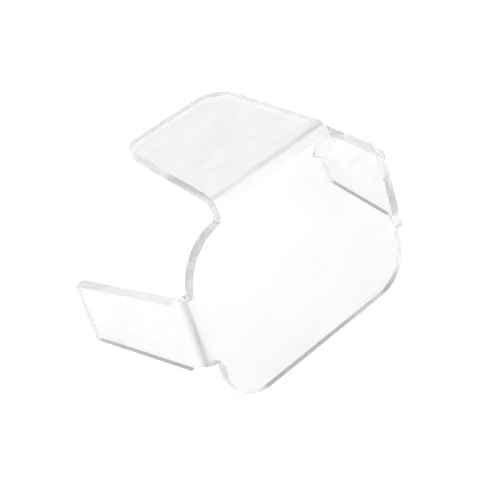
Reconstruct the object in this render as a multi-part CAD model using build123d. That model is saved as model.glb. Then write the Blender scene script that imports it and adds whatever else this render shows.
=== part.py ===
from build123d import *
import os
from math import cos, radians, sin, sqrt, tan

# Clear cheek retractor: one blank of acrylic sheet with three line-bent flanges.
# Upright working frame: X along the face plate's width, Y from its front face to its
# back, Z up, with Z = 0 where the face plate and the shelf would meet if the bend were
# sharp.  A flange's own outline is drawn from the sharp corner of its bend outwards.

# ---- sheet -------------------------------------------------------------------
thickness = 3.0
inner_bend_radius = 0.8
bend_angle = 81.6            # turn of each flange out of the face plate, degrees

# ---- face plate --------------------------------------------------------------
face_half_width = 35.9       # centre line to the sharp corner of a side bend
face_height = 54.9
shoulder_drop = 6.3          # top of the shoulders below the shelf's bend
shoulder_radius = 15.2
shoulder_half_width = 33.9
lower_half_width = 32.0
lower_corner_radius = 10.6
neck_fillet = 1.3
relief_width = 1.4           # round-ended notch at the top of each side bend
relief_bottom = 19.6
relief_height = 4.2

# ---- shelf (top flange) ------------------------------------------------------
shelf_length = 37.8
shelf_root_width = 38.0
shelf_tip_width = 32.4
shelf_offset = -0.5          # its centre line from the face plate's
shelf_small_corner = 4.5
shelf_large_corner = 8.0

# ---- wing (left flange) ------------------------------------------------------
wing_length = 41.8
wing_top = 21.3
wing_tip_top = 22.9
wing_bottom = 41.7
wing_tip_bottom = 40.3
wing_bend_top = 19.2         # the bend itself is shorter than the wing is wide
wing_bend_bottom = 39.0
wing_root_reach = 7.0
wing_root_top_radius = 4.0
wing_root_bottom_radius = 3.0
wing_bend_step = 1.5         # how far the face plate's edge slants below the bend

# ---- tab (right flange) ------------------------------------------------------
tab_bend_top = 18.5
tab_bend_bottom = 40.6
tab_shoulder_reach = 28.8
tab_shoulder_top = 17.6
tab_tip_reach = 36.4
tab_tip_drop = 28.5
tab_notch_reach = 31.3       # step between the pointed tip and the straight rear edge
tab_notch_drop = 27.7
tab_heel_reach = 30.8
tab_heel_bottom = 35.0
tab_root_reach = 5.5
tab_root_bottom = 38.1
tab_root_radius = 2.0
tab_bend_step = 1.0

# ---- stance ------------------------------------------------------------------
stance_rounds = 20           # enough for the three feet to settle

# ---- worked out --------------------------------------------------------------
turn = radians(bend_angle)
outer_bend_radius = inner_bend_radius + thickness
set_back = outer_bend_radius * tan(turn / 2)
flat_half_width = face_half_width - set_back
shoulder_x = shoulder_half_width - shoulder_radius
shoulder_z = -shoulder_drop - shoulder_radius


def polygon(points):
    """A filled outline through the given points."""
    return make_face(Polyline(*points, close=True))


def rounded(outline, corner, radius):
    """Round the corner of an outline that lies at the given point."""
    return fillet(outline.vertices().sort_by_distance(Vector(*corner))[0], radius)


def face_plate():
    """Flat of the face plate, as far as the start of each bend."""
    lower = Pos(0, -face_height) * Rectangle(2 * lower_half_width, face_height + shoulder_z,
                                             align=(Align.CENTER, Align.MIN))
    for side in (-1, 1):
        lower = rounded(lower, (side * lower_half_width, -face_height), lower_corner_radius)
    outline = lower + Pos(0, -shoulder_drop) * Rectangle(
        2 * shoulder_x, shoulder_radius, align=(Align.CENTER, Align.MAX))
    shoulder_band = Pos(0, -relief_bottom) * Rectangle(
        2 * face_half_width, relief_bottom, align=(Align.CENTER, Align.MIN))
    for side in (-1, 1):
        outline += shoulder_band & (Pos(side * shoulder_x, shoulder_z) * Circle(shoulder_radius))
    outline += polygon([(-flat_half_width, -relief_bottom), (flat_half_width, -relief_bottom),
                        (flat_half_width, -tab_bend_bottom),
                        (lower_half_width, -tab_bend_bottom - tab_bend_step),
                        (-lower_half_width, -wing_bend_bottom - wing_bend_step),
                        (-flat_half_width, -wing_bend_bottom)])
    left, right = shelf_sides(0)
    outline += polygon([(left, -set_back), (right, -set_back),
                        (right, -shoulder_drop - neck_fillet), (left, -shoulder_drop - neck_fillet)])
    outline += neck_corner(-left, -1) + neck_corner(right, 1)
    return extrude(Plane.XZ * outline, amount=-thickness)


def neck_corner(neck, side):
    """Hollow corner between the neck's edge and the round shoulder, tangent to both."""
    across = neck + neck_fillet - shoulder_x
    reach = shoulder_radius + neck_fillet
    up = sqrt(reach ** 2 - across ** 2)
    share = shoulder_radius / reach
    centre = (side * (neck + neck_fillet), shoulder_z + up)
    touch = (side * (shoulder_x + across * share), shoulder_z + up * share)
    inside = side * (neck - neck_fillet)
    web = polygon([(inside, centre[1]), centre, touch, (inside, touch[1])])
    return web - Pos(*centre) * Circle(neck_fillet)


def shelf_sides(reach):
    """Where the shelf's two long edges are, at this reach from the sharp corner."""
    half = (shelf_root_width + (shelf_tip_width - shelf_root_width) * reach / shelf_length) / 2
    return shelf_offset - half, shelf_offset + half


def shelf():
    """Top flange: a tongue with one small and one large rounded corner, and its bend."""
    root_left, root_right = shelf_sides(set_back)
    tip_left, tip_right = shelf_sides(shelf_length)
    outline = polygon([(root_left, set_back), (tip_left, shelf_length),
                       (tip_right, shelf_length), (root_right, set_back)])
    outline = rounded(outline, (tip_left, shelf_length), shelf_small_corner)
    outline = rounded(outline, (tip_right, shelf_length), shelf_large_corner)
    flange_plane = Plane(origin=(0, 0, 0), x_dir=(1, 0, 0), z_dir=(0, -cos(turn), sin(turn)))
    blade = extrude(flange_plane * outline, amount=-thickness)
    left, right = shelf_sides(0)
    section = Plane(origin=(0, 0, -set_back), x_dir=(1, 0, 0), z_dir=(0, 0, 1)) * polygon(
        [(left, 0), (right, 0), (right, thickness), (left, thickness)])
    axis = Axis((0, outer_bend_radius, -set_back), (-1, 0, 0))
    return blade + revolve(section, axis, revolution_arc=bend_angle)


def side_flange(outline, bend_top, bend_bottom):
    """Right-hand flange of the given (reach, height) outline, and its bend."""
    flange_plane = Plane(origin=(face_half_width, 0, 0), x_dir=(cos(turn), sin(turn), 0),
                         z_dir=(sin(turn), -cos(turn), 0))
    blade = extrude(flange_plane * outline, amount=-thickness)
    section = Plane(origin=(flat_half_width, 0, 0), x_dir=(0, 1, 0), z_dir=(1, 0, 0)) * polygon(
        [(0, -bend_top), (thickness, -bend_top), (thickness, -bend_bottom), (0, -bend_bottom)])
    axis = Axis((flat_half_width, outer_bend_radius, 0), (0, 0, 1))
    return blade + revolve(section, axis, revolution_arc=bend_angle)


def wing():
    """Left flange: a long strip whose root is necked in to the length of its bend."""
    outline = polygon([(set_back, -wing_bend_top), (wing_root_reach, -wing_top),
                       (wing_length, -wing_tip_top), (wing_length, -wing_tip_bottom),
                       (wing_root_reach, -wing_bottom), (set_back, -wing_bend_bottom)])
    outline = rounded(outline, (wing_root_reach, -wing_top), wing_root_top_radius)
    outline = rounded(outline, (wing_root_reach, -wing_bottom), wing_root_bottom_radius)
    return mirror(side_flange(outline, wing_bend_top, wing_bend_bottom), about=Plane.YZ)


def tab():
    """Right flange: a short strip whose slanted upper corner ends in a hooked point."""
    outline = polygon([(set_back, -tab_bend_top), (tab_shoulder_reach, -tab_shoulder_top),
                       (tab_tip_reach, -tab_tip_drop), (tab_notch_reach, -tab_notch_drop),
                       (tab_heel_reach, -tab_heel_bottom),
                       (tab_root_reach, -tab_root_bottom), (set_back, -tab_bend_bottom)])
    outline = rounded(outline, (tab_root_reach, -tab_root_bottom), tab_root_radius)
    return side_flange(outline, tab_bend_top, tab_bend_bottom)


def relief():
    """Round-ended notch between a shoulder and the top of the bend beside it."""
    slot = Pos(0, relief_width / 2) * Rectangle(relief_width, relief_height,
                                                align=(Align.CENTER, Align.MIN))
    slot += Pos(0, relief_width / 2) * Circle(relief_width / 2)
    slot = Pos(shoulder_half_width + relief_width / 2, -relief_bottom) * slot
    return extrude(Plane.XZ * slot, amount=-outer_bend_radius)


def flange_point(reach, height, depth):
    """A point of a right-hand flange, this deep below its outer face."""
    return Vector(face_half_width + reach * cos(turn) - depth * sin(turn),
                  reach * sin(turn) + depth * cos(turn), height)


def lowest(points, up):
    """The point that a surface with this upward direction meets first."""
    return min(points, key=lambda point: point.dot(up))


def stance():
    """The surface the part rests on, from its three feet.

    It stands on the wing's lower tip, the tab's heel and a point of the face plate's
    rounded lower corner.  Which side of the sheet each foot is on, and where on the
    round the plate touches, follow the tilt, so the three are found together.
    """
    faces = (0, thickness)
    wing_tips = [flange_point(wing_length, -wing_tip_bottom, depth) for depth in faces]
    wing_tips = [Vector(-tip.X, tip.Y, tip.Z) for tip in wing_tips]
    tab_heels = [flange_point(tab_heel_reach, -tab_heel_bottom, depth) for depth in faces]
    corners = [Vector(lower_half_width - lower_corner_radius, depth,
                      lower_corner_radius - face_height) for depth in faces]
    up = Vector(0, -sin(turn / 2), cos(turn / 2))
    for _ in range(stance_rounds):
        outwards = Vector(up.X, 0, up.Z).normalized() * lower_corner_radius
        plate_foot = lowest([corner - outwards for corner in corners], up)
        wing_foot = lowest(wing_tips, up)
        tab_foot = lowest(tab_heels, up)
        up = (tab_foot - plate_foot).cross(wing_foot - plate_foot).normalized()
    across = Vector(1, 0, 0) - up * up.X
    return Plane(origin=plate_foot, x_dir=across, z_dir=up)


def stand_up(body):
    """Set the upright part on its feet, with the origin under the middle of its box."""
    body = stance().location.inverse() * body
    box = body.bounding_box()
    return Pos(-box.center().X, -box.center().Y, -box.min.Z) * body


os.makedirs("parts", exist_ok=True)
retractor = face_plate() + shelf() + wing() + tab()
cutter = relief()
retractor = retractor - cutter - mirror(cutter, about=Plane.YZ)
retractor = stand_up(retractor)
retractor.label = "retractor_body"
export_step(retractor, "parts/retractor_body.step")
print("size", retractor.bounding_box().size, "solids", len(retractor.solids()))
print("centre of mass", retractor.center(CenterOf.MASS))
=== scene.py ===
from math import cos, radians, sin

import bmesh
import bpy
from mathutils import Matrix, Vector
from mathutils.bvhtree import BVHTree


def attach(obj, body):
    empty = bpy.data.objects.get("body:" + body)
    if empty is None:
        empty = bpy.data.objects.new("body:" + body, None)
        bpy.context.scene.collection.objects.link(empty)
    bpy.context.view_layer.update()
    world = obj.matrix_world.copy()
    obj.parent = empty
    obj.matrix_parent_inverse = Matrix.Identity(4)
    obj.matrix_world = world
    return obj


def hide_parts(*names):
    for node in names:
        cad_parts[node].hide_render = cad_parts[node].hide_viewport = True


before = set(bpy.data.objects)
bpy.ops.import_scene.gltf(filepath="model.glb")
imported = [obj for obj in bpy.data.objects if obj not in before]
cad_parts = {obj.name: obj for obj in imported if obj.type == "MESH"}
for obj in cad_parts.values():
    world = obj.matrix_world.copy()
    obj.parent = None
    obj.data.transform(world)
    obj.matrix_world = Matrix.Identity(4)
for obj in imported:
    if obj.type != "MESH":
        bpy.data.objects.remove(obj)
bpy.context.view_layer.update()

MM = 0.001

# ---- camera ------------------------------------------------------------------
CAMERA_TARGET = Vector((-3.56, -2.34, 23.51)) * MM
CAMERA_DISTANCE = 331.9 * MM
CAMERA_HEADING = radians(45.09)     # from +Y towards +X
CAMERA_PITCH = radians(59.26)       # looking down
CAMERA_ROLL = radians(1.48)
CAMERA_LENS = 97.5
CAMERA_SENSOR = 36.0
CAMERA_NEAR = 0.01

# ---- studio --------------------------------------------------------------------
FLOOR_SIZE = 8
FLOOR_TONE = (0.85, 0.85, 0.85, 1)
FLOOR_ROUGHNESS = 0.9
FLOOR_GLOW = 0.25
LIGHT_BOUNCES = 96            # light runs a long way inside clear sheet
DARK_WALL = 0.18              # behind the part, where the shelf reflects it
BRIGHT_WALL = 1.0
BRIGHT_SIDE = (-0.515, -0.857, 0.0)
DARK_WALL_CENTRE = -0.9       # how far along the bright side's direction the dark wall is
DARK_WALL_END = -0.2
WALL_TOP = 0.30               # heights as the upward part of a direction
CEILING_START = 0.48
CEILING_LIGHT = 1.0

# ---- visible part --------------------------------------------------------------
EDGE_ROUND = 0.22 * MM
EDGE_ROUND_STEPS = 2
SHARP_ANGLE = radians(40)
COPLANAR_ANGLE = radians(0.4)
SHEET_LIMIT = 3.4 * MM       # a face with the opposite one nearer than this is the sheet's own
WELD_GAP = 0.002 * MM
FLAT_AREA = 300 * MM * MM     # both sides of the face plate, shelf, wing and tab are larger
FLAT_MATCH = 0.9999
BEND_ROUGHNESS = 0.36        # the heated strip is a little wavy
FACE, EDGE, BEND = 0, 1, 2   # material places on the part

# ---- acrylic -----------------------------------------------------------------
ACRYLIC_IOR = 1.49
EDGE_CLEARNESS = 0.78        # the rest of a cut edge's look is milky
FACE_TINTS = ((0.915, 0.92, 0.92, 1), (0.995, 0.997, 0.997, 1))
EDGE_TINTS = ((0.83, 0.835, 0.835, 1), (0.93, 0.935, 0.935, 1))
TINT_POSITIONS = (0.35, 0.65)
STREAK_HEADING = radians(44)
STREAK_STRETCH = 3.0
STREAK_SCALE = 70.0
STREAK_DETAIL = 9.0
STREAK_ROUGHNESS = 0.72
WEAR_DETAIL = 5.0
FACE_WEAR_SCALE = 260.0
EDGE_WEAR_SCALE = 900.0
EDGE_ROUGHNESS = (0.10, 0.30)
FACE_ROUGHNESS_SPREAD = 0.03
FACE_BUMP = 0.02
EDGE_BUMP = 0.12
BUMP_DEPTH = 0.05 * MM


def link(obj):
    bpy.context.scene.collection.objects.link(obj)
    return obj


def add_map_range(tree, source, low_in, high_in, low_out, high_out):
    """A smooth change from one value to another as the source goes from low to high."""
    made = tree.nodes.new("ShaderNodeMapRange")
    made.interpolation_type = "SMOOTHSTEP"
    made.inputs["From Min"].default_value = low_in
    made.inputs["From Max"].default_value = high_in
    made.inputs["To Min"].default_value = low_out
    made.inputs["To Max"].default_value = high_out
    tree.links.new(source, made.inputs["Value"])
    return made


def acrylic(name, edge, least_rough=0.0):
    """Clear sheet: polished on its faces, a little milkier and rougher on its cut edges."""
    material = bpy.data.materials.new(name)
    material.use_nodes = True
    tree = material.node_tree
    tree.nodes.clear()
    out = tree.nodes.new("ShaderNodeOutputMaterial")
    shader = tree.nodes.new("ShaderNodeBsdfPrincipled")
    shader.inputs["IOR"].default_value = ACRYLIC_IOR
    shader.inputs["Transmission Weight"].default_value = EDGE_CLEARNESS if edge else 1.0
    tree.links.new(shader.outputs["BSDF"], out.inputs["Surface"])
    place = tree.nodes.new("ShaderNodeTexCoord")
    streaks = tree.nodes.new("ShaderNodeMapping")
    streaks.inputs["Rotation"].default_value = (0, 0, STREAK_HEADING)
    streaks.inputs["Scale"].default_value = (1, STREAK_STRETCH, STREAK_STRETCH)
    tree.links.new(place.outputs["Object"], streaks.inputs["Vector"])
    tint = tree.nodes.new("ShaderNodeTexNoise")
    tint.inputs["Scale"].default_value = STREAK_SCALE
    tint.inputs["Detail"].default_value = STREAK_DETAIL
    tint.inputs["Roughness"].default_value = STREAK_ROUGHNESS
    tree.links.new(streaks.outputs["Vector"], tint.inputs["Vector"])
    colour = tree.nodes.new("ShaderNodeValToRGB")
    tints = EDGE_TINTS if edge else FACE_TINTS
    for element, position, shade in zip(colour.color_ramp.elements, TINT_POSITIONS, tints):
        element.position = position
        element.color = shade
    tree.links.new(tint.outputs["Fac"], colour.inputs["Fac"])
    tree.links.new(colour.outputs["Color"], shader.inputs["Base Color"])
    wear = tree.nodes.new("ShaderNodeTexNoise")
    wear.inputs["Scale"].default_value = EDGE_WEAR_SCALE if edge else FACE_WEAR_SCALE
    wear.inputs["Detail"].default_value = WEAR_DETAIL
    tree.links.new(place.outputs["Object"], wear.inputs["Vector"])
    rough = tree.nodes.new("ShaderNodeMapRange")
    smoothest, roughest = EDGE_ROUGHNESS if edge else (least_rough, least_rough + FACE_ROUGHNESS_SPREAD)
    rough.inputs["To Min"].default_value = smoothest
    rough.inputs["To Max"].default_value = roughest
    tree.links.new(wear.outputs["Fac"], rough.inputs["Value"])
    tree.links.new(rough.outputs["Result"], shader.inputs["Roughness"])
    bump = tree.nodes.new("ShaderNodeBump")
    bump.inputs["Strength"].default_value = EDGE_BUMP if edge else FACE_BUMP
    bump.inputs["Distance"].default_value = BUMP_DEPTH
    tree.links.new(wear.outputs["Fac"], bump.inputs["Height"])
    tree.links.new(bump.outputs["Normal"], shader.inputs["Normal"])
    return material


def visible_retractor(source):
    """A copy of the design's solid with its cut edges slightly rounded.

    A face with the sheet's other side close behind it belongs to a face or a bend, and any
    other face is a cut edge.
    """
    mesh = source.data.copy()
    mesh.name = "retractor"
    work = bmesh.new()
    work.from_mesh(mesh)
    bmesh.ops.remove_doubles(work, verts=work.verts, dist=WELD_GAP)
    bmesh.ops.dissolve_limit(work, angle_limit=COPLANAR_ANGLE, verts=work.verts, edges=work.edges)
    work.to_mesh(mesh)
    work.free()
    piece = link(bpy.data.objects.new("retractor", mesh))
    piece.data.materials.clear()
    piece.data.materials.append(acrylic("clear_acrylic_face", False))
    piece.data.materials.append(acrylic("clear_acrylic_edge", True))
    piece.data.materials.append(acrylic("clear_acrylic_bend", False, BEND_ROUGHNESS))
    flats = [polygon.normal.copy() for polygon in piece.data.polygons if polygon.area > FLAT_AREA]
    inside = BVHTree.FromObject(piece, bpy.context.evaluated_depsgraph_get())
    for polygon in piece.data.polygons:
        polygon.use_smooth = True
        start = polygon.center - polygon.normal * WELD_GAP
        depth = inside.ray_cast(start, -polygon.normal)[3]
        if depth is None or depth > SHEET_LIMIT:
            polygon.material_index = EDGE
        elif max(polygon.normal.dot(flat) for flat in flats) < FLAT_MATCH:
            polygon.material_index = BEND
    rounding = piece.modifiers.new("edge_round", "BEVEL")
    rounding.width = EDGE_ROUND
    rounding.segments = EDGE_ROUND_STEPS
    rounding.limit_method = "ANGLE"
    rounding.angle_limit = SHARP_ANGLE
    rounding.material = FACE
    shading = piece.modifiers.new("flat_faces", "WEIGHTED_NORMAL")
    shading.mode = "FACE_AREA"
    shading.weight = 100
    shading.keep_sharp = True
    piece.visible_shadow = False
    return piece


def stage():
    """Plain pale floor."""
    bpy.ops.mesh.primitive_plane_add(size=FLOOR_SIZE)
    floor = bpy.context.object
    floor.name = "floor"
    material = bpy.data.materials.new("pale_floor")
    material.use_nodes = True
    shader = material.node_tree.nodes["Principled BSDF"]
    shader.inputs["Base Color"].default_value = FLOOR_TONE
    shader.inputs["Roughness"].default_value = FLOOR_ROUGHNESS
    shader.inputs["Emission Color"].default_value = (1, 1, 1, 1)
    shader.inputs["Emission Strength"].default_value = FLOOR_GLOW
    floor.data.materials.append(material)


def studio():
    """Soft light from a bright ceiling and walls, with one darker wall to reflect."""
    world = bpy.data.worlds.new("studio")
    bpy.context.scene.world = world
    world.use_nodes = True
    tree = world.node_tree
    place = tree.nodes.new("ShaderNodeTexCoord")
    split = tree.nodes.new("ShaderNodeSeparateXYZ")
    tree.links.new(place.outputs["Generated"], split.inputs["Vector"])
    side = tree.nodes.new("ShaderNodeVectorMath")
    side.operation = "DOT_PRODUCT"
    side.inputs[1].default_value = BRIGHT_SIDE
    tree.links.new(place.outputs["Generated"], side.inputs[0])
    wall = add_map_range(tree, side.outputs["Value"], DARK_WALL_CENTRE, DARK_WALL_END,
                         DARK_WALL, BRIGHT_WALL)
    height = add_map_range(tree, split.outputs["Z"], WALL_TOP, CEILING_START, 0.0, 1.0)
    level = tree.nodes.new("ShaderNodeMix")
    level.inputs["B"].default_value = CEILING_LIGHT
    tree.links.new(height.outputs["Result"], level.inputs["Factor"])
    tree.links.new(wall.outputs["Result"], level.inputs["A"])
    tree.links.new(level.outputs["Result"], tree.nodes["Background"].inputs["Color"])
    scene = bpy.context.scene
    scene.view_settings.view_transform = "Standard"
    scene.cycles.max_bounces = LIGHT_BOUNCES
    scene.cycles.transmission_bounces = LIGHT_BOUNCES
    scene.cycles.glossy_bounces = LIGHT_BOUNCES


def camera():
    """The photograph's viewpoint, from its target, distance and angles."""
    ahead = Vector((sin(CAMERA_HEADING) * cos(CAMERA_PITCH),
                    cos(CAMERA_HEADING) * cos(CAMERA_PITCH), -sin(CAMERA_PITCH)))
    right = Vector((cos(CAMERA_HEADING), -sin(CAMERA_HEADING), 0))
    up = right.cross(ahead)
    turned = Matrix((right, up, -ahead)).transposed() @ Matrix.Rotation(CAMERA_ROLL, 3, "Z")
    data = bpy.data.cameras.new("camera")
    data.lens = CAMERA_LENS
    data.sensor_width = CAMERA_SENSOR
    data.clip_start = CAMERA_NEAR
    view = link(bpy.data.objects.new("camera", data))
    view.matrix_world = Matrix.Translation(CAMERA_TARGET - ahead * CAMERA_DISTANCE) @ turned.to_4x4()
    bpy.context.scene.camera = view


retractor = visible_retractor(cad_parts["retractor_body"])
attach(retractor, "root")
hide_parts("retractor_body")

stage()
studio()
camera()
